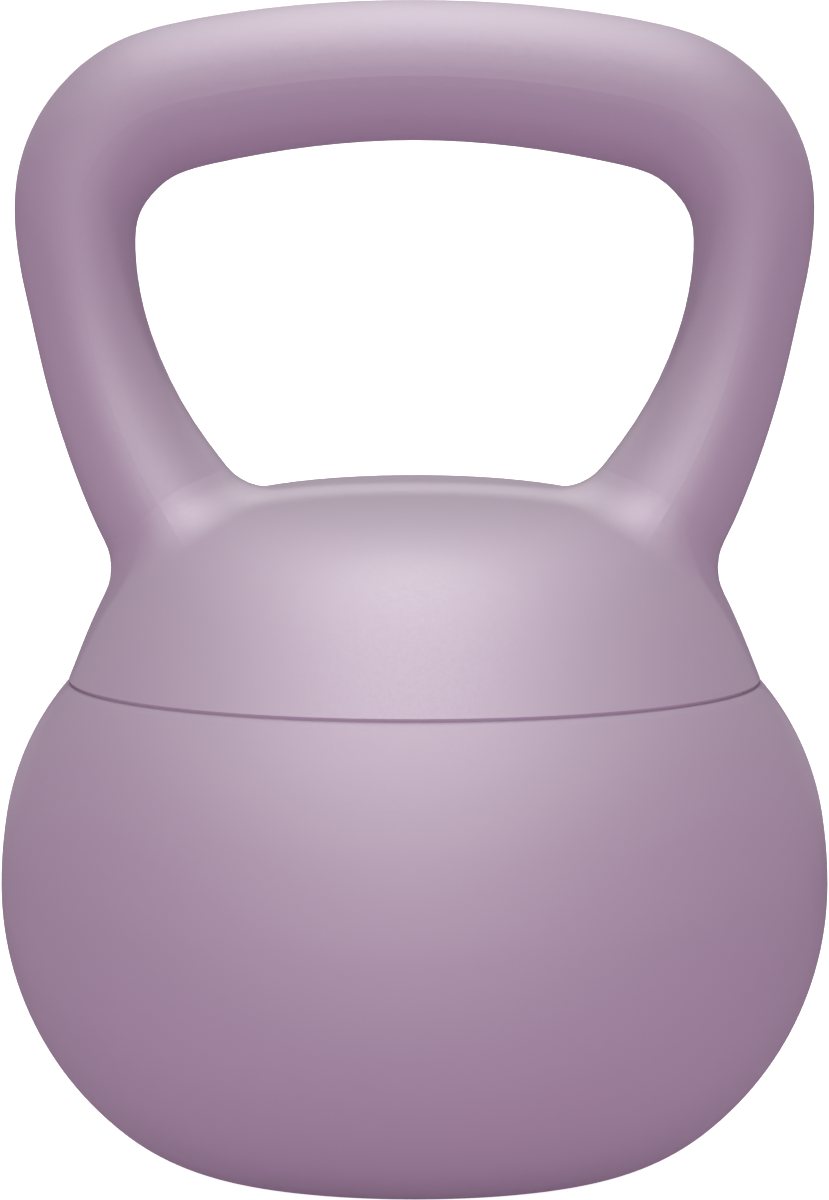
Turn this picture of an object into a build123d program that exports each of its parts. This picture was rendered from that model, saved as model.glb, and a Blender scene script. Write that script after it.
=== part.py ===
"""Soft-base kettlebell: a rigid hollow handle and shoulder over a sand-filled soft ball.

Millimetres, +Z up. The origin is the middle of the flat base, X runs along the grip and -Y is the front.
"""
import os
from math import acos, cos, radians, sin, tan

from build123d import *

# ---- Ball skin: half outline of tangent arcs, from the flat base up to the seam ----------------------
BALL_R = 90.0  # greatest radius
BASE_FLAT_R = 34.5
TOE_ARC_R = 47.8  # rounds the flat base into the side
TOE_SWEEP = 38.4  # degrees
UPPER_ARC_R = 100.0  # just above the greatest radius
UPPER_SWEEP = 9.0
NECK_ARC_R = 57.8  # rolls in towards the seam
NECK_SWEEP = 31.8
SKIN_WALL = 3.5
FLANGE_T = 3.5  # the skin's mouth flange, squeezed between shoulder and plate
FLANGE_BORE_R = 52.0
BASE_BOSS_R = 28.0  # thicker skin around the filler opening
BASE_BOSS_T = 7.0
SEAM_BEVEL = 0.7  # edge break on both sides of the seam

# ---- Shoulder cap of the handle ------------------------------------------------------------------------
SHOULDER_H = 43.4  # crown above the seam
SKIRT_LEAN = 21.2  # degrees in from vertical
SKIRT_PULL = 35.7  # how far the skirt holds its direction
CROWN_PULL = 58.0  # how far the crown stays flat
SHOULDER_WALL = 4.0
HOLLOW_CROWN_R = 300.0  # inside the shoulder: the gentle dome of its crown
HOLLOW_CORNER_R = 42.0  # and the round between its skirt and crown, both as drawn on the outside

# ---- Grip loop: three tangent arcs a side, on its centre line -----------------------------------------
GRIP_RISE = 104.9  # top of the bar above the shoulder's crown
LOOP_ARCS = [(229.0, 12.9), (28.8, 82.0), (130.8, 90.0)]  # radius and sweep of bar, corner and leg
LEG_SINK = 13.3  # the legs' centre lines end this far below the crown
LOOP_STEPS = 14  # even sections down each side
# Distance round the loop and the grip's thickness and front-to-back depth there, eased between rows.
GRIP_THICKNESS = [(0, 30.4), (58, 31.7), (108, 24.4), (210, 40.0)]
GRIP_DEPTH = [(0, 33.0), (48, 33.2), (98, 37.0), (210, 52.0)]
ROOT_FILLET_R = 13.0  # where the legs run into the shoulder
GRIP_WALL = 4.0
CAVITY_STEPS = 12  # the hollow ends at this section down each leg
GAS_HOLE_R = 3.0  # each leg's hollow opens into the shoulder through one hole
GAS_HOLE_IN = 6.5  # from the end of the hollow towards the middle

# ---- Clamp ring, screws and ribs inside the shoulder ----------------------------------------------------
SCREW_COUNT = 8
SCREW_CIRCLE_R = 60.0
SCREW_R = 1.9  # mean thread radius
SCREW_L = 18.0
SCREW_HEAD_R = 4.2
SCREW_HEAD_H = 3.0
DRIVE_SLOT_W = 1.2
DRIVE_SLOT_L = 5.0
DRIVE_SLOT_DEPTH = 1.6
SCREW_CLEARANCE = 0.05
PILOT_SPARE = 2.0  # pilot hole beyond the screw's tip
BOSS_R = 5.5
CLAMP_RING_T = 3.0
RIB_T = 2.5
RIB_HUB_R = 14.0
RIB_CLEARANCE = 6.0  # ribs stop this far above the plate's pan

# ---- Clamp plate ------------------------------------------------------------------------------------------
PLATE_R = 68.0
PLATE_T = 3.0
PAN_H = 10.0  # centre pan that reaches up through the skin's mouth
PAN_CLEARANCE = 0.5
PLATE_HOLE_R = 2.4

# ---- Fill, filler bush and plug ----------------------------------------------------------------------------
FILL_GAP = 3.5  # slack between the fill and the plate
BUSH_R = 19.0
BUSH_BORE_R = 14.0
BUSH_H = 17.0
BUSH_FLANGE_R = 25.0
BUSH_FLANGE_T = 2.5
BUSH_RECESS = 1.5  # bush and plug stop this far above the floor
PLUG_HEAD_R = 16.5
PLUG_HEAD_T = 2.5
PLUG_HEAD_CLEARANCE = 0.3
PLUG_SHORT = 0.5  # the stem ends this far below the bush's mouth
PLUG_CLEARANCE = 0.08
PLUG_SLOT_W = 3.0
PLUG_SLOT_DEPTH = 1.0
O_RING_CORD_R = 1.25
O_RING_UP = 7.0  # middle of the ring above the plug's head
O_RING_CLEARANCE = 0.03
GROOVE_SPARE = 0.1  # groove wider than the ring on each side


# ---- Helpers ------------------------------------------------------------------------------------------------
def spin(outline):
    """Solid of revolution about the upright axis of a closed list of edges, drawn as radius and height."""
    return revolve(Plane.XZ * make_face(Wire(outline)), Axis.Z)


def drum(radius, bottom, top):
    return Pos(0, 0, bottom) * extrude(Circle(radius), top - bottom)


def tube(outer, inner, bottom, top):
    return drum(outer, bottom, top) - drum(inner, bottom, top)


def around(shape):
    """One copy of a shape for each screw, evenly spaced and clear of the X and Y axes."""
    step = 360 / SCREW_COUNT
    return [Rot(0, 0, (k + 0.5) * step) * shape for k in range(SCREW_COUNT)]


# ---- Ball outline -------------------------------------------------------------------------------------------
def side_arc_r():
    """Radius of the side arc that joins the toe to the greatest radius."""
    rise = sin(radians(TOE_SWEEP))
    return (BALL_R - BASE_FLAT_R - TOE_ARC_R * rise) / (1 - rise)


def ball_arcs(inset=0.0):
    """The four arcs of the ball's side, moved `inset` in from the outer surface."""
    toe = JernArc((BASE_FLAT_R, inset), (1, 0), TOE_ARC_R - inset, TOE_SWEEP)
    side = JernArc(toe @ 1, toe % 1, side_arc_r() - inset, 90 - TOE_SWEEP)
    upper = JernArc(side @ 1, side % 1, UPPER_ARC_R - inset, UPPER_SWEEP)
    neck = JernArc(upper @ 1, upper % 1, NECK_ARC_R - inset, NECK_SWEEP)
    return [toe, side, upper, neck]


def ball_solid(inset=0.0):
    """The ball inside its outline, closed flat at the top of its arcs."""
    arcs = ball_arcs(inset)
    end = arcs[-1] @ 1
    floor = Line((0, inset), arcs[0] @ 0)
    lid = Line(end, (0, end.Y))
    axis = Line((0, end.Y), (0, inset))
    return spin([floor, *arcs, lid, axis])


SEAM_POINT = ball_arcs()[-1] @ 1
SEAM_R = SEAM_POINT.X
SEAM_Z = SEAM_POINT.Y
CROWN_Z = SEAM_Z + SHOULDER_H
FLANGE_Z = SEAM_Z - FLANGE_T
PLATE_Z = FLANGE_Z - PLATE_T
PAN_TOP_Z = FLANGE_Z + PAN_H
FILL_TOP_Z = PLATE_Z - FILL_GAP
BUSH_TOP_Z = BUSH_RECESS + BUSH_H
PLUG_HEAD_TOP_Z = BUSH_RECESS + PLUG_HEAD_T


# ---- Handle --------------------------------------------------------------------------------------------------
def eased(rows, place):
    """Value at a place between rows of (place, value), level at each row."""
    for (start, low), (end, high) in zip(rows, rows[1:]):
        if place <= end:
            part = (place - start) / (end - start)
            return low + (high - low) * part * part * (3 - 2 * part)
    return rows[-1][1]


def loop_point(place):
    """Radius, height and heading (radians) this far round the grip loop's centre line."""
    x, z, heading = 0.0, CROWN_Z + GRIP_RISE - GRIP_THICKNESS[0][1] / 2, 0.0
    for radius, sweep in LOOP_ARCS:
        ahead = heading + min(radians(sweep), place / radius)
        x += radius * (sin(ahead) - sin(heading))
        z += radius * (cos(ahead) - cos(heading))
        place -= radius * (ahead - heading)
        heading = ahead
    return x, z, heading


def loop_end():
    """Distance round the centre line at which a leg has sunk into the shoulder."""
    before = sum(radius * radians(sweep) for radius, sweep in LOOP_ARCS[:-1])
    _, z, heading = loop_point(before)
    leg_r = LOOP_ARCS[-1][0]
    return before + leg_r * (acos(cos(heading) - (z - CROWN_Z + LEG_SINK) / leg_r) - heading)


def loop_section(side, place, inset):
    """Oval section square to the centre line, on side -1 or +1."""
    x, z, heading = loop_point(place)
    across = (side * sin(heading), 0, cos(heading))
    along = (cos(heading), 0, -side * sin(heading))
    oval = Ellipse(eased(GRIP_THICKNESS, place) / 2 - inset, eased(GRIP_DEPTH, place) / 2 - inset)
    return Plane((side * x, 0, z), across, along) * oval


def grip_loop(inset=0.0, steps=LOOP_STEPS):
    """The loop from the left leg over the bar to the right leg, `inset` inside its surface."""
    pitch = loop_end() / LOOP_STEPS
    left = [loop_section(-1, k * pitch, inset) for k in range(steps, 0, -1)]
    right = [loop_section(1, k * pitch, inset) for k in range(steps + 1)]
    return loft(left + right)


def shoulder_solid():
    """The shoulder cap as a full solid, down to the seam, with its lower edge broken."""
    lean = radians(SKIRT_LEAN)
    edge = (SEAM_R - SEAM_BEVEL * tan(lean), SEAM_Z + SEAM_BEVEL)
    pulled = (SEAM_R - SKIRT_PULL * sin(lean), SEAM_Z + SKIRT_PULL * cos(lean))
    under = (SEAM_R - SEAM_BEVEL, SEAM_Z)
    outline = [
        Line((0, SEAM_Z), under),
        Line(under, edge),
        Bezier(edge, pulled, (CROWN_PULL, CROWN_Z), (0, CROWN_Z)),
        Line((0, CROWN_Z), (0, SEAM_Z)),
    ]
    # a quarter turn puts the surface's own seam between the legs
    return Rot(0, 0, 90) * spin(outline)


def shoulder_hollow(inset):
    """The space under the shoulder cap, `inset` inside its skirt and domed crown."""
    lean = radians(SKIRT_LEAN)
    rim = SEAM_R - inset / cos(lean)
    tip = rim - SHOULDER_H * tan(lean)
    skirt = make_face(Polyline((0, SEAM_Z), (rim, SEAM_Z), (tip, CROWN_Z), (0, CROWN_Z), close=True))
    half = skirt & Pos(0, CROWN_Z - HOLLOW_CROWN_R) * Circle(HOLLOW_CROWN_R - inset)
    corner = half.vertices().filter_by(lambda v: v.X > 1 and v.Y > SEAM_Z + 1)
    return revolve(Plane.XZ * fillet(corner, HOLLOW_CORNER_R - inset), Axis.Z)


def leg_roots(body):
    """The two closed edges where the legs meet the shoulder."""
    return [e for e in body.edges() if e.is_closed and SEAM_Z + SHOULDER_H / 4 < e.center().Z < CROWN_Z]


def clamp_structure():
    """Clamp ring, screw bosses and ribs, running up into the thickness of the cap."""
    rib_z = PAN_TOP_Z + RIB_CLEARANCE
    half = CLAMP_RING_T / 2
    ring = tube(SCREW_CIRCLE_R + half, SCREW_CIRCLE_R - half, SEAM_Z, CROWN_Z)
    hub = tube(RIB_HUB_R + RIB_T, RIB_HUB_R, rib_z, CROWN_Z)
    boss = Pos(SCREW_CIRCLE_R, 0, 0) * drum(BOSS_R, SEAM_Z, CROWN_Z)
    rib_start = RIB_HUB_R + RIB_T / 2
    rib_box = Box(SEAM_R - rib_start, RIB_T, CROWN_Z - rib_z, align=(Align.MIN, Align.CENTER, Align.MIN))
    rib = Pos(rib_start, 0, rib_z) * rib_box
    pilot = Pos(SCREW_CIRCLE_R, 0, 0) * drum(SCREW_R + SCREW_CLEARANCE, SEAM_Z, PLATE_Z + SCREW_L + PILOT_SPARE)
    whole = ring + hub + around(boss) + around(rib) - around(pilot)
    return whole & shoulder_hollow(SHOULDER_WALL / 2)


def gas_holes():
    """The hole at the foot of each leg, from the space under the cap up into the leg's hollow."""
    x, z, heading = loop_point(CAVITY_STEPS * loop_end() / LOOP_STEPS)
    top = z + GAS_HOLE_IN * tan(heading - radians(90)) + GAS_HOLE_R / 2
    hole = drum(GAS_HOLE_R, PAN_TOP_Z, top)
    return [Pos(side * (x - GAS_HOLE_IN), 0, 0) * hole for side in (-1, 1)]


def handle():
    outside = grip_loop() + shoulder_solid()
    outside = fillet(leg_roots(outside), ROOT_FILLET_R)
    body = outside - shoulder_hollow(SHOULDER_WALL) + clamp_structure()
    return body - gas_holes() - grip_loop(GRIP_WALL, CAVITY_STEPS)


# ---- Soft ball ------------------------------------------------------------------------------------------------
def ball_skin():
    shell = ball_solid()
    rim = shell.edges().filter_by(GeomType.CIRCLE).filter_by(lambda e: abs(e.center().Z - SEAM_Z) < 0.01)
    shell = chamfer(rim, SEAM_BEVEL)
    shell -= ball_solid(SKIN_WALL) - drum(BALL_R, FLANGE_Z, SEAM_Z) - drum(BASE_BOSS_R, 0, BASE_BOSS_T)
    hole = Pos(SCREW_CIRCLE_R, 0, 0) * drum(PLATE_HOLE_R, FLANGE_Z, SEAM_Z)
    mouth = drum(FLANGE_BORE_R, FLANGE_Z, SEAM_Z)
    return shell - mouth - drum(BUSH_R, 0, BASE_BOSS_T) - around(hole)


def clamp_plate():
    pan_r = FLANGE_BORE_R - PAN_CLEARANCE
    plate = drum(PLATE_R, PLATE_Z, FLANGE_Z) + drum(pan_r, FLANGE_Z, PAN_TOP_Z)
    plate -= drum(pan_r - PLATE_T, PLATE_Z, PAN_TOP_Z - PLATE_T)
    hole = Pos(SCREW_CIRCLE_R, 0, 0) * drum(PLATE_HOLE_R, PLATE_Z, FLANGE_Z)
    return plate - around(hole)


def clamp_screws():
    """Pan-head screws with a cross drive, driven up from below."""
    head_z = PLATE_Z - SCREW_HEAD_H
    head = drum(SCREW_HEAD_R, head_z, PLATE_Z)
    head = fillet(head.edges().group_by(Axis.Z)[0], SCREW_HEAD_H / 3)
    slot = Box(DRIVE_SLOT_L, DRIVE_SLOT_W, 2 * DRIVE_SLOT_DEPTH)
    screw = head + drum(SCREW_R, PLATE_Z, PLATE_Z + SCREW_L)
    screw -= [Pos(0, 0, head_z) * slot, Pos(0, 0, head_z) * Rot(0, 0, 90) * slot]
    return Compound(children=around(Pos(SCREW_CIRCLE_R, 0, 0) * screw))


# ---- Fill and filler ------------------------------------------------------------------------------------------
def sand_fill():
    """Loose fill up to its level, clear of the base boss and the bush."""
    fill = ball_solid(SKIN_WALL) - drum(BALL_R, FILL_TOP_Z, SEAM_Z)
    bush_flange_top = BASE_BOSS_T + BUSH_FLANGE_T
    fill -= drum(BASE_BOSS_R, 0, BASE_BOSS_T)
    return fill - drum(BUSH_FLANGE_R, 0, bush_flange_top) - drum(BUSH_R, 0, BUSH_TOP_Z)


def filler_bush():
    bush = drum(BUSH_R, BUSH_RECESS, BUSH_TOP_Z)
    bush += drum(BUSH_FLANGE_R, BASE_BOSS_T, BASE_BOSS_T + BUSH_FLANGE_T)
    bush -= drum(PLUG_HEAD_R + PLUG_HEAD_CLEARANCE, BUSH_RECESS, PLUG_HEAD_TOP_Z)
    return bush - drum(BUSH_BORE_R, BUSH_RECESS, BUSH_TOP_Z)


def filler_plug():
    stem_r = BUSH_BORE_R - PLUG_CLEARANCE
    groove_r = BUSH_BORE_R - O_RING_CLEARANCE - 2 * O_RING_CORD_R
    ring_z = PLUG_HEAD_TOP_Z + O_RING_UP
    half = O_RING_CORD_R + GROOVE_SPARE
    plug = drum(PLUG_HEAD_R, BUSH_RECESS, PLUG_HEAD_TOP_Z)
    plug += drum(stem_r, PLUG_HEAD_TOP_Z, BUSH_TOP_Z - PLUG_SHORT)
    plug -= tube(BUSH_BORE_R, groove_r, ring_z - half, ring_z + half)
    slot = Box(4 * PLUG_HEAD_R, PLUG_SLOT_W, 2 * PLUG_SLOT_DEPTH)
    return plug - Pos(0, 0, BUSH_RECESS) * slot


def plug_o_ring():
    ring_z = PLUG_HEAD_TOP_Z + O_RING_UP
    middle_r = BUSH_BORE_R - O_RING_CLEARANCE - O_RING_CORD_R
    return Pos(0, 0, ring_z) * Torus(middle_r, O_RING_CORD_R)


PARTS = {
    "handle": handle,
    "ball_skin": ball_skin,
    "clamp_plate": clamp_plate,
    "clamp_screws": clamp_screws,
    "sand_fill": sand_fill,
    "filler_bush": filler_bush,
    "filler_plug": filler_plug,
    "plug_o_ring": plug_o_ring,
}

if __name__ == "__main__":
    os.makedirs("parts", exist_ok=True)
    for name, make in PARTS.items():
        export_step(make(), f"parts/{name}.step")
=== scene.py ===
# %% [markdown]
# # A soft-base kettlebell, from CAD frame to finished look
# The real object is a one-piece rigid handle and shoulder over a soft, sand-filled ball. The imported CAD
# model already has every piece in its right place and size, so it is loaded first and acts as a fixed
# frame: everything made below is measured from it.

# %% Load the frame
import math

import bpy
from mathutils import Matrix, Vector


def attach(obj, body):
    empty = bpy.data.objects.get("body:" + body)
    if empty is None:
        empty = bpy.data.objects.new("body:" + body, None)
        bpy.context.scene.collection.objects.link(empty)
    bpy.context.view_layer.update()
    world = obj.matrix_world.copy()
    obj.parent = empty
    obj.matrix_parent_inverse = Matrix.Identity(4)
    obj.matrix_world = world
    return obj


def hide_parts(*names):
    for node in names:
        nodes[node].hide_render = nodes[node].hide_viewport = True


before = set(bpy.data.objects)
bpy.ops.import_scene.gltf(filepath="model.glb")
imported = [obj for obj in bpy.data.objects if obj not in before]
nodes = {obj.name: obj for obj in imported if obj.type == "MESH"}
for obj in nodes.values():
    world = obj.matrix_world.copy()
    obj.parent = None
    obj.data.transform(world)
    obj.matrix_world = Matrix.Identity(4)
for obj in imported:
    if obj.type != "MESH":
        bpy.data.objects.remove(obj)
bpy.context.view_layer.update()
print("nodes:", sorted(nodes))

# %% [markdown]
# ## Camera
# A long lens from three metres away keeps the grip and the ball in proportion, as a catalogue picture
# does. The camera looks slightly down, so that the seam shows as a shallow curve. The lens is worked out
# from the object: the frame's height is the object's own height with hardly any margin.

# %% Camera
CAMERA_DISTANCE = 3.0
CAMERA_PITCH = math.radians(6.4)
SENSOR = 36.0
AIM_HEIGHT = 0.1258
FRAME_HEIGHT_AT_AIM = 0.26083  # how much of the object's upright plane fills the frame


def make_camera():
    lens = SENSOR * CAMERA_DISTANCE / FRAME_HEIGHT_AT_AIM
    data = bpy.data.cameras.new("camera")
    data.sensor_width = SENSOR
    data.lens = lens
    data.clip_end = 50.0
    camera = bpy.data.objects.new("camera", data)
    aim = Vector((0, 0, AIM_HEIGHT))
    back = Vector((0, -math.cos(CAMERA_PITCH), math.sin(CAMERA_PITCH)))
    camera.location = aim + back * CAMERA_DISTANCE
    camera.rotation_euler = (-back).to_track_quat("-Z", "Y").to_euler()
    bpy.context.scene.collection.objects.link(camera)
    bpy.context.scene.camera = camera
    return camera


camera = make_camera()
print("lens:", round(camera.data.lens, 1), "mm")

# %% [markdown]
# ## Helpers for materials
# A small function that adds a node and sets its inputs keeps every material below short enough to read.

# %% Node helpers
def new_material(name):
    material = bpy.data.materials.new(name)
    material.use_nodes = True
    material.node_tree.nodes.clear()
    return material, material.node_tree


def add_node(tree, kind, values=None, **settings):
    node = tree.nodes.new(kind)
    for key, value in settings.items():
        setattr(node, key, value)
    for key, value in (values or {}).items():
        node.inputs[key].default_value = value
    return node


def finish_material(tree, shader):
    out = add_node(tree, "ShaderNodeOutputMaterial")
    tree.links.new(shader.outputs[0], out.inputs["Surface"])


def blend_colours(tree, noise, low, high):
    """A mix of two colours, driven by a noise node."""
    mix = tree.nodes.new("ShaderNodeMix")
    mix.data_type = "RGBA"
    low_in, high_in = [s for s in mix.inputs if s.type == "RGBA"]
    low_in.default_value = (*low, 1)
    high_in.default_value = (*high, 1)
    tree.links.new(noise.outputs["Fac"], mix.inputs["Factor"])
    return mix


# %% [markdown]
# ## Moulded plastic and soft vinyl
# Both visible shells are the same dusty mauve. The look comes from three layers: a base colour that drifts
# very slightly over the surface, a fine grain in the bump that breaks up reflections, and a broad, whitish
# gloss. The handle is hard and its grain a little coarser; the vinyl is softer and rougher.

# %% Shell materials
CLOUD_SCALE = 18.0  # patches of colour drift, a few centimetres across
ROUGH_SPREAD = 0.04
GRAIN_STRENGTH = 0.25


def shell_material(name, colour, drift, grain_size, grain_depth, roughness, gloss):
    """Matte moulded skin with a faint colour drift and a fine grain, whose sizes are in metres."""
    material, tree = new_material(name)
    link = tree.links.new
    place = add_node(tree, "ShaderNodeTexCoord")
    cloud = add_node(tree, "ShaderNodeTexNoise", {"Scale": CLOUD_SCALE, "Detail": 3.0, "Roughness": 0.5})
    grain = add_node(tree, "ShaderNodeTexNoise", {"Scale": 1.0 / grain_size, "Detail": 2.0})
    link(place.outputs["Object"], cloud.inputs["Vector"])
    link(place.outputs["Object"], grain.inputs["Vector"])
    tint = blend_colours(tree, cloud, [c * (1 - drift) for c in colour], [c * (1 + drift) for c in colour])
    spread = {"To Min": roughness - ROUGH_SPREAD, "To Max": roughness + ROUGH_SPREAD}
    rough = add_node(tree, "ShaderNodeMapRange", spread)
    link(grain.outputs["Fac"], rough.inputs["Value"])
    bump = add_node(tree, "ShaderNodeBump", {"Strength": GRAIN_STRENGTH, "Distance": grain_depth})
    link(grain.outputs["Fac"], bump.inputs["Height"])
    shader = add_node(tree, "ShaderNodeBsdfPrincipled", {"IOR": 1.5, "Specular IOR Level": gloss})
    link(tint.outputs["Result"], shader.inputs["Base Color"])
    link(rough.outputs["Result"], shader.inputs["Roughness"])
    link(bump.outputs["Normal"], shader.inputs["Normal"])
    finish_material(tree, shader)
    return material


MAUVE = (0.300, 0.167, 0.296)
DARK_MAUVE = [0.9 * c for c in MAUVE]
BLACK_PLASTIC = (0.022, 0.022, 0.024)
BLACK_RUBBER = (0.012, 0.012, 0.012)
# Colour, its drift, grain size and depth, roughness and gloss.
SHELLS = {
    "handle_finish": (MAUVE, 0.015, 0.0006, 0.00006, 0.78, 1.0),
    "vinyl_finish": (MAUVE, 0.02, 0.0004, 0.00004, 0.80, 0.85),
    "bush_finish": (DARK_MAUVE, 0.01, 0.0008, 0.00004, 0.55, 0.6),
    "plug_finish": (MAUVE, 0.01, 0.0008, 0.00004, 0.50, 0.6),
    "plate_finish": (BLACK_PLASTIC, 0.05, 0.0010, 0.00010, 0.60, 0.5),
    "ring_finish": (BLACK_RUBBER, 0.10, 0.0002, 0.00001, 0.45, 0.5),
}
shells = {name: shell_material(name, *look) for name, look in SHELLS.items()}
print("shell materials:", ", ".join(shells))

# %% [markdown]
# ## Inside: zinc and sand
# The screws are zinc plated, bluish and slightly streaked. The fill is dry sand: grains of three tones,
# each one a cell of a fine Voronoi pattern.

# %% Zinc and sand
ZINC_LOW, ZINC_HIGH = (0.50, 0.52, 0.54), (0.68, 0.70, 0.70)
ZINC_ROUGHNESS = {"To Min": 0.28, "To Max": 0.44}
STREAK_SCALE = (900.0, 900.0, 90.0)  # ten times longer along the screw than across it
SAND_DARK, SAND_MIDDLE, SAND_LIGHT = (0.20, 0.13, 0.07, 1), (0.42, 0.32, 0.20, 1), (0.62, 0.52, 0.38, 1)
SAND_GRAIN = 0.0008


def zinc_material():
    material, tree = new_material("zinc_finish")
    link = tree.links.new
    place = add_node(tree, "ShaderNodeTexCoord")
    stretch = add_node(tree, "ShaderNodeMapping", {"Scale": STREAK_SCALE})
    streak = add_node(tree, "ShaderNodeTexNoise", {"Scale": 1.0, "Detail": 3.0})
    link(place.outputs["Object"], stretch.inputs["Vector"])
    link(stretch.outputs["Vector"], streak.inputs["Vector"])
    tint = blend_colours(tree, streak, ZINC_LOW, ZINC_HIGH)
    rough = add_node(tree, "ShaderNodeMapRange", ZINC_ROUGHNESS)
    link(streak.outputs["Fac"], rough.inputs["Value"])
    shader = add_node(tree, "ShaderNodeBsdfPrincipled", {"Metallic": 1.0})
    link(tint.outputs["Result"], shader.inputs["Base Color"])
    link(rough.outputs["Result"], shader.inputs["Roughness"])
    finish_material(tree, shader)
    return material


def sand_material():
    material, tree = new_material("sand_finish")
    link = tree.links.new
    place = add_node(tree, "ShaderNodeTexCoord")
    grains = add_node(tree, "ShaderNodeTexVoronoi", {"Scale": 1.0 / SAND_GRAIN})
    link(place.outputs["Object"], grains.inputs["Vector"])
    tones = add_node(tree, "ShaderNodeValToRGB")
    tones.color_ramp.elements[0].color = SAND_DARK
    tones.color_ramp.elements[1].color = SAND_LIGHT
    tones.color_ramp.elements.new(0.5).color = SAND_MIDDLE
    link(grains.outputs["Color"], tones.inputs["Fac"])
    bump = add_node(tree, "ShaderNodeBump", {"Strength": 0.8, "Distance": SAND_GRAIN / 2})
    link(grains.outputs["Distance"], bump.inputs["Height"])
    shader = add_node(tree, "ShaderNodeBsdfPrincipled", {"Roughness": 0.9})
    link(tones.outputs["Color"], shader.inputs["Base Color"])
    link(bump.outputs["Normal"], shader.inputs["Normal"])
    finish_material(tree, shader)
    return material


def dress(node, material):
    """Gives a CAD node its material, in every slot it has."""
    mesh = nodes[node].data
    for k in range(len(mesh.materials)):
        mesh.materials[k] = material
    print(node, "wears", material.name)


dress("handle", shells["handle_finish"])
dress("clamp_plate", shells["plate_finish"])
dress("clamp_screws", zinc_material())
dress("sand_fill", sand_material())
dress("filler_bush", shells["bush_finish"])
dress("filler_plug", shells["plug_finish"])
dress("plug_o_ring", shells["ring_finish"])

# %% [markdown]
# ## The soft ball
# The CAD frame holds the ball's skin as a plain solid, so a piece made here stands in for it. It follows one
# rule: a half outline turned about the upright axis. The outside is four arcs, each starting in the direction
# in which the one before ended: a tight toe from the flat base, the side, a flatter arc just above the widest
# place, and a neck that rolls in to the seam. The same arcs moved in by the wall make the inside, a flange
# under the shoulder closes the top, and a thicker boss rings the opening in the base.

# %% Ball outline
MM = 0.001
BALL_R, SEAM_Z = nodes["ball_skin"].dimensions.x / 2, nodes["ball_skin"].dimensions.z
BASE_FLAT_R = 34.5 * MM
TOE_ARC_R, TOE_SWEEP = 47.8 * MM, math.radians(38.4)
UPPER_ARC_R, UPPER_SWEEP = 100.0 * MM, math.radians(9.0)
NECK_ARC_R, NECK_SWEEP = 57.8 * MM, math.radians(31.8)
SKIN_WALL, FLANGE_T, MOUTH_R = 3.5 * MM, 3.5 * MM, 52.0 * MM
FILLER_R, BOSS_R, BOSS_T = 19.0 * MM, 28.0 * MM, 7.0 * MM
SEAM_BEVEL = 0.7 * MM
ARC_STEP = math.radians(2.0)


def ball_arcs():
    """Centre, radius, first heading and sweep of each arc up the ball's side."""
    rise = math.sin(TOE_SWEEP)
    side_r = (BALL_R - BASE_FLAT_R - TOE_ARC_R * rise) / (1 - rise)
    sides = [(TOE_ARC_R, TOE_SWEEP), (side_r, math.pi / 2 - TOE_SWEEP)]
    sides += [(UPPER_ARC_R, UPPER_SWEEP), (NECK_ARC_R, NECK_SWEEP)]
    x, z, heading = BASE_FLAT_R, 0.0, 0.0
    arcs = []
    for radius, sweep in sides:
        centre = (x - radius * math.sin(heading), z + radius * math.cos(heading))
        arcs.append((centre, radius, heading, sweep))
        heading += sweep
        x, z = centre[0] + radius * math.sin(heading), centre[1] - radius * math.cos(heading)
    return arcs


def side_points(inset):
    """Points up the ball's side, moved in by `inset`, from the flat base to the seam."""
    points = [(BASE_FLAT_R, inset)]
    for (x, z), radius, heading, sweep in ball_arcs():
        steps = math.ceil(sweep / ARC_STEP)
        for k in range(1, steps + 1):
            turn = heading + sweep * k / steps
            points.append((x + (radius - inset) * math.sin(turn), z - (radius - inset) * math.cos(turn)))
    return points


def ball_outline():
    """The closed half section of the skin, as radius and height, from the base opening up the outside."""
    outside = side_points(0.0)
    seam_r = outside[-1][0]
    below_seam = [p for p in outside if p[1] < SEAM_Z - SEAM_BEVEL]
    (x, z), radius, heading, sweep = ball_arcs()[-1]
    bevel_turn = heading + sweep - SEAM_BEVEL / radius
    below_seam.append((x + radius * math.sin(bevel_turn), z - radius * math.cos(bevel_turn)))
    flange_z = SEAM_Z - FLANGE_T
    inside = [p for p in side_points(SKIN_WALL) if p[1] < flange_z]
    inside.append((x + math.sqrt((radius - SKIN_WALL) ** 2 - (flange_z - z) ** 2), flange_z))
    top = [(seam_r - SEAM_BEVEL, SEAM_Z), (MOUTH_R, SEAM_Z), (MOUTH_R, flange_z)]
    boss = [(BOSS_R, SKIN_WALL), (BOSS_R, BOSS_T), (FILLER_R, BOSS_T)]
    return [(FILLER_R, 0.0), *below_seam, *top, *inside[::-1], *boss, (FILLER_R, 0.0)]


outline = ball_outline()
print("outline points:", len(outline), "widest:", round(max(outline)[0], 5))

# %% [markdown]
# The turning itself is a small Geometry Nodes tree. A grid has one row for each point of the outline and one
# column for each step of the turn. Every grid point looks up its outline point and is set at that radius
# and height, at its column's angle. The eight screw holes in the flange are one cylinder repeated round a
# circle and cut out.

# %% Turning tree
SIZES = {"Turn steps": 240, "Hole count": 8, "Hole circle radius": 60.0 * MM, "Hole radius": 2.4 * MM}
HOLE_SIDES = 24
MERGE_DISTANCE = 1e-6
SHARP_ANGLE = math.radians(30)


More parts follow.
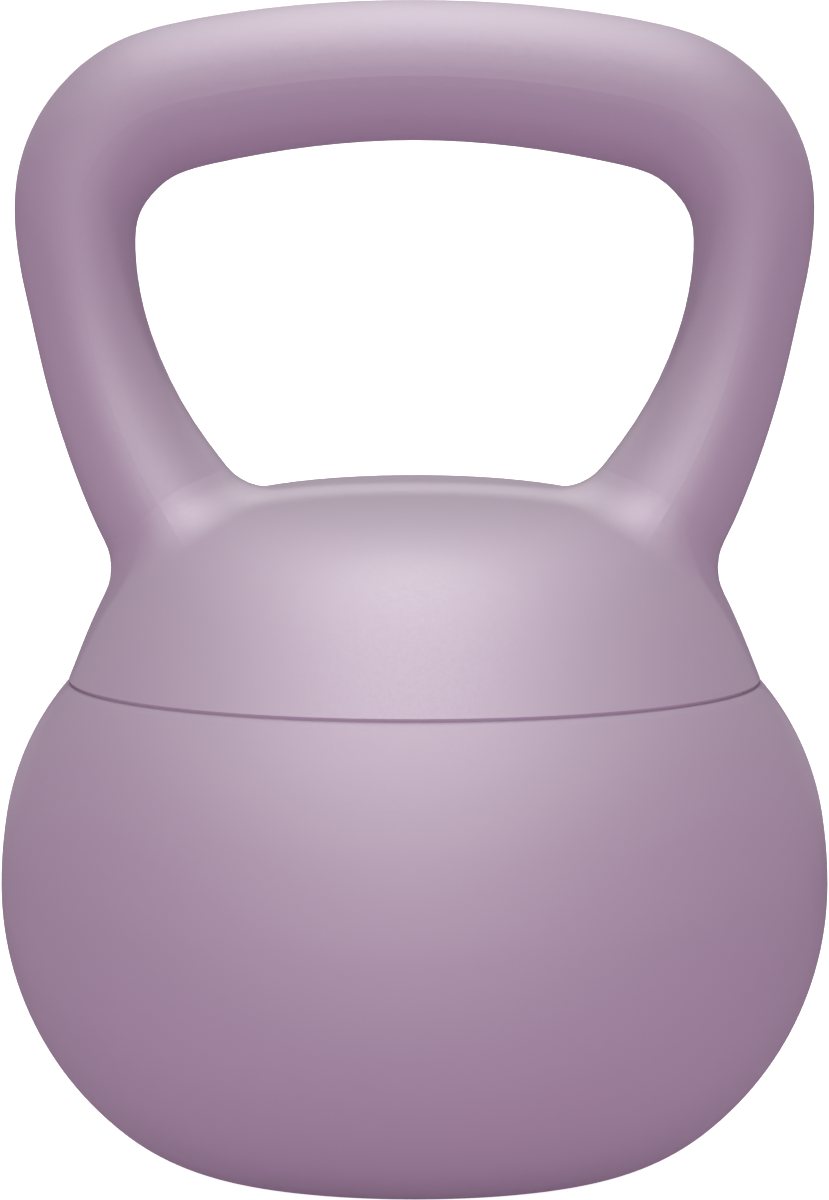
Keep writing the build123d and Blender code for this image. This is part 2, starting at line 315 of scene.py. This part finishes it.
def maths(tree, operation, *values):
    """A Math node on one or two values, each a socket or a number."""
    node = add_node(tree, "ShaderNodeMath", operation=operation)
    for socket, value in zip(node.inputs, values):
        if isinstance(value, bpy.types.NodeSocket):
            tree.links.new(value, socket)
        else:
            socket.default_value = value
    return node.outputs[0]


def turned_position(tree, outline_mesh, turn_steps, columns):
    """Where each grid point goes: its outline point's radius and height, at its column's angle."""
    link = tree.links.new
    index = add_node(tree, "GeometryNodeInputIndex").outputs[0]
    row = maths(tree, "FLOOR", maths(tree, "DIVIDE", maths(tree, "ADD", index, 0.5), columns))
    column = maths(tree, "SUBTRACT", index, maths(tree, "MULTIPLY", row, columns))
    angle = maths(tree, "DIVIDE", maths(tree, "MULTIPLY", column, 2 * math.pi), turn_steps)
    look_up = add_node(tree, "GeometryNodeSampleIndex", data_type="FLOAT_VECTOR", domain="POINT")
    link(outline_mesh, look_up.inputs["Geometry"])
    link(add_node(tree, "GeometryNodeInputPosition").outputs[0], look_up.inputs["Value"])
    link(row, look_up.inputs["Index"])
    point = add_node(tree, "ShaderNodeSeparateXYZ")
    link(look_up.outputs["Value"], point.inputs[0])
    turned = add_node(tree, "ShaderNodeCombineXYZ")
    link(maths(tree, "MULTIPLY", point.outputs["X"], maths(tree, "COSINE", angle)), turned.inputs["X"])
    link(maths(tree, "MULTIPLY", point.outputs["X"], maths(tree, "SINE", angle)), turned.inputs["Y"])
    link(point.outputs["Z"], turned.inputs["Z"])
    return turned.outputs[0]


def screw_holes(tree, sizes):
    """One upright cylinder repeated round a circle at the flange, turned half a step off the X axis."""
    link = tree.links.new
    circle = add_node(tree, "GeometryNodeMeshCircle")
    link(sizes["Hole count"], circle.inputs["Vertices"])
    link(sizes["Hole circle radius"], circle.inputs["Radius"])
    pin = add_node(tree, "GeometryNodeMeshCylinder", {"Vertices": HOLE_SIDES, "Depth": 4 * FLANGE_T})
    link(sizes["Hole radius"], pin.inputs["Radius"])
    spread = add_node(tree, "GeometryNodeInstanceOnPoints")
    link(circle.outputs["Mesh"], spread.inputs["Points"])
    link(pin.outputs["Mesh"], spread.inputs["Instance"])
    real = add_node(tree, "GeometryNodeRealizeInstances")
    link(spread.outputs[0], real.inputs[0])
    half_step = math.pi / SIZES["Hole count"]
    middle = (0, 0, SEAM_Z - FLANGE_T / 2)
    lift = add_node(tree, "GeometryNodeTransform", {"Translation": middle, "Rotation": (0, 0, half_step)})
    link(real.outputs[0], lift.inputs["Geometry"])
    return lift.outputs[0]


def turning_tree(point_count):
    """Turns an outline of this many points into a skin with screw holes."""
    tree = bpy.data.node_groups.new("turned_skin", "GeometryNodeTree")
    ends = tree.interface
    ends.new_socket("Geometry", in_out="INPUT", socket_type="NodeSocketGeometry")
    ends.new_socket("Geometry", in_out="OUTPUT", socket_type="NodeSocketGeometry")
    for label, value in SIZES.items():
        kind = "NodeSocketInt" if isinstance(value, int) else "NodeSocketFloat"
        ends.new_socket(label, in_out="INPUT", socket_type=kind)
    link = tree.links.new
    given = add_node(tree, "NodeGroupInput").outputs
    columns = maths(tree, "ADD", given["Turn steps"], 1)
    grid = add_node(tree, "GeometryNodeMeshGrid", {"Vertices X": point_count})
    link(columns, grid.inputs["Vertices Y"])
    place = add_node(tree, "GeometryNodeSetPosition")
    link(grid.outputs["Mesh"], place.inputs["Geometry"])
    link(turned_position(tree, given["Geometry"], given["Turn steps"], columns), place.inputs["Position"])
    close = add_node(tree, "GeometryNodeMergeByDistance", {"Distance": MERGE_DISTANCE})
    link(place.outputs[0], close.inputs["Geometry"])
    outward = add_node(tree, "GeometryNodeFlipFaces")
    link(close.outputs[0], outward.inputs["Mesh"])
    cut = add_node(tree, "GeometryNodeMeshBoolean", operation="DIFFERENCE")
    link(outward.outputs[0], cut.inputs["Mesh 1"])
    link(screw_holes(tree, given), cut.inputs["Mesh 2"])
    wear = add_node(tree, "GeometryNodeSetMaterial", {"Material": shells["vinyl_finish"]})
    link(cut.outputs["Mesh"], wear.inputs["Geometry"])
    out = add_node(tree, "NodeGroupOutput")
    link(wear.outputs[0], out.inputs[0])
    return tree


def turn_outline(name, points):
    """Runs the tree on the outline and returns the result as a plain mesh object."""
    line = bpy.data.meshes.new(name + "_outline")
    line.from_pydata([(r, 0, z) for r, z in points], [(k, k + 1) for k in range(len(points) - 1)], [])
    maker = bpy.data.objects.new(name + "_maker", line)
    bpy.context.scene.collection.objects.link(maker)
    modifier = maker.modifiers.new("turn", "NODES")
    modifier.node_group = turning_tree(len(points))
    for item in modifier.node_group.interface.items_tree:
        if item.name in SIZES:
            modifier[item.identifier] = SIZES[item.name]
    evaluated = maker.evaluated_get(bpy.context.evaluated_depsgraph_get())
    mesh = bpy.data.meshes.new_from_object(evaluated)
    bpy.data.objects.remove(maker)
    mesh.name = name
    mesh.shade_smooth()
    mesh.set_sharp_from_angle(angle=SHARP_ANGLE)
    piece = bpy.data.objects.new(name, mesh)
    bpy.context.scene.collection.objects.link(piece)
    return piece


def mesh_volume(mesh):
    """Signed volume, which is positive where the faces point outwards."""
    mesh.calc_loop_triangles()
    total = 0.0
    for triangle in mesh.loop_triangles:
        a, b, c = [mesh.vertices[v].co for v in triangle.vertices]
        total += a.dot(b.cross(c)) / 6
    return total


soft_ball = turn_outline("soft_ball", outline)
skin_volume = mesh_volume(soft_ball.data) / MM**3 / 1000
print("soft ball:", len(soft_ball.data.polygons), "faces, skin volume", round(skin_volume, 1), "cm3")
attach(soft_ball, "kettlebell")
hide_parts("ball_skin")

# %% [markdown]
# ## Studio
# The object stands on a pale floor that glows a little, like a light table, so that the ball's lower half
# isn't dark. The floor glows more to the camera than to the object and stays white right up to it. Seen
# from below, the floor is clear.

# %% Floor
FLOOR_HALF = 3.0
FLOOR_COLOUR = (0.86, 0.86, 0.86, 1)
FLOOR_GLOW = 0.42  # light the floor gives the object
FLOOR_SHOWN = 0.9  # glow the camera sees, so that the floor stays white up to the object


def make_floor():
    mesh = bpy.data.meshes.new("floor")
    corners = [(-1, -1), (1, -1), (1, 1), (-1, 1)]
    mesh.from_pydata([(x * FLOOR_HALF, y * FLOOR_HALF, 0) for x, y in corners], [], [(0, 1, 2, 3)])
    floor = bpy.data.objects.new("floor", mesh)
    bpy.context.scene.collection.objects.link(floor)
    material, tree = new_material("floor_paper")
    paper = add_node(tree, "ShaderNodeBsdfDiffuse", {"Color": FLOOR_COLOUR})
    glow = add_node(tree, "ShaderNodeEmission")
    path = add_node(tree, "ShaderNodeLightPath")
    strength = add_node(tree, "ShaderNodeMapRange", {"To Min": FLOOR_GLOW, "To Max": FLOOR_SHOWN})
    tree.links.new(path.outputs["Is Camera Ray"], strength.inputs["Value"])
    tree.links.new(strength.outputs["Result"], glow.inputs["Strength"])
    lit = add_node(tree, "ShaderNodeAddShader")
    tree.links.new(paper.outputs[0], lit.inputs[0])
    tree.links.new(glow.outputs[0], lit.inputs[1])
    clear = add_node(tree, "ShaderNodeBsdfTransparent")
    side = add_node(tree, "ShaderNodeNewGeometry")
    mix = add_node(tree, "ShaderNodeMixShader")
    tree.links.new(side.outputs["Backfacing"], mix.inputs[0])
    tree.links.new(lit.outputs[0], mix.inputs[1])
    tree.links.new(clear.outputs[0], mix.inputs[2])
    finish_material(tree, mix)
    mesh.materials.append(material)
    floor.visible_glossy = False
    print("floor:", round(2 * FLOOR_HALF, 1), "m square")


make_floor()

# %% [markdown]
# ## Light
# The surround lights the object evenly from all sides, so the mauve stays about the same all over. The soft
# shine comes from five lights that only add gloss: one over the bar, one behind it, two on the shoulder, and
# a low one on the front of the ball. Each is a soft-edged pool, aimed at one place.

# %% Surround
WHITE = (1, 1, 1, 1)
WORLD_STRENGTH = 0.88
BACKDROP_STRENGTH = 1.2


def make_world():
    """Even white light, shown as plain white to the camera and left out of reflections."""
    world = bpy.data.worlds.new("surround")
    world.use_nodes = True
    tree = world.node_tree
    tree.nodes.clear()
    path = add_node(tree, "ShaderNodeLightPath")
    glow = add_node(tree, "ShaderNodeBackground", {"Color": WHITE, "Strength": WORLD_STRENGTH})
    plain = add_node(tree, "ShaderNodeBackground", {"Color": WHITE, "Strength": BACKDROP_STRENGTH})
    mix = add_node(tree, "ShaderNodeMixShader")
    tree.links.new(path.outputs["Is Camera Ray"], mix.inputs[0])
    tree.links.new(glow.outputs[0], mix.inputs[1])
    tree.links.new(plain.outputs[0], mix.inputs[2])
    out = add_node(tree, "ShaderNodeOutputWorld")
    tree.links.new(mix.outputs[0], out.inputs["Surface"])
    world.cycles_visibility.glossy = False
    bpy.context.scene.world = world


make_world()
print("surround strength:", WORLD_STRENGTH)

# %% Gloss lights
LAMP_R = 0.05
# Place and aim in metres, the cone's angle in degrees, and power in watts.
POOLS = {
    "over_bar": ((0, -0.18, 1.2), (0, 0, 0.25), 22, 120),
    "behind_bar": ((0, 0.35, 1.1), (0, 0, 0.25), 18, 60),
    "shoulder_front": ((0, -1.0, 0.55), (0, -0.06, 0.132), 15, 86),
    "shoulder_high": ((-0.1, -0.7, 0.95), (0, -0.05, 0.135), 15, 120),
    "ball_front": ((-0.1, -1.1, 0.02), (-0.01, -0.09, 0.05), 17, 50),
}


def pool_light(name, place, aim, angle, power):
    """A soft-edged pool of light that adds only gloss."""
    data = bpy.data.lights.new(name, "SPOT")
    data.spot_size, data.spot_blend = math.radians(angle), 1.0
    data.energy, data.shadow_soft_size = power, LAMP_R
    light = bpy.data.objects.new(name, data)
    light.location = place
    light.rotation_euler = (Vector(aim) - Vector(place)).to_track_quat("-Z", "Y").to_euler()
    light.visible_diffuse = False
    light.visible_camera = False
    bpy.context.scene.collection.objects.link(light)


for name, pool in POOLS.items():
    pool_light(name, *pool)
bpy.context.scene.view_settings.view_transform = "Standard"
print("gloss lights:", ", ".join(POOLS))
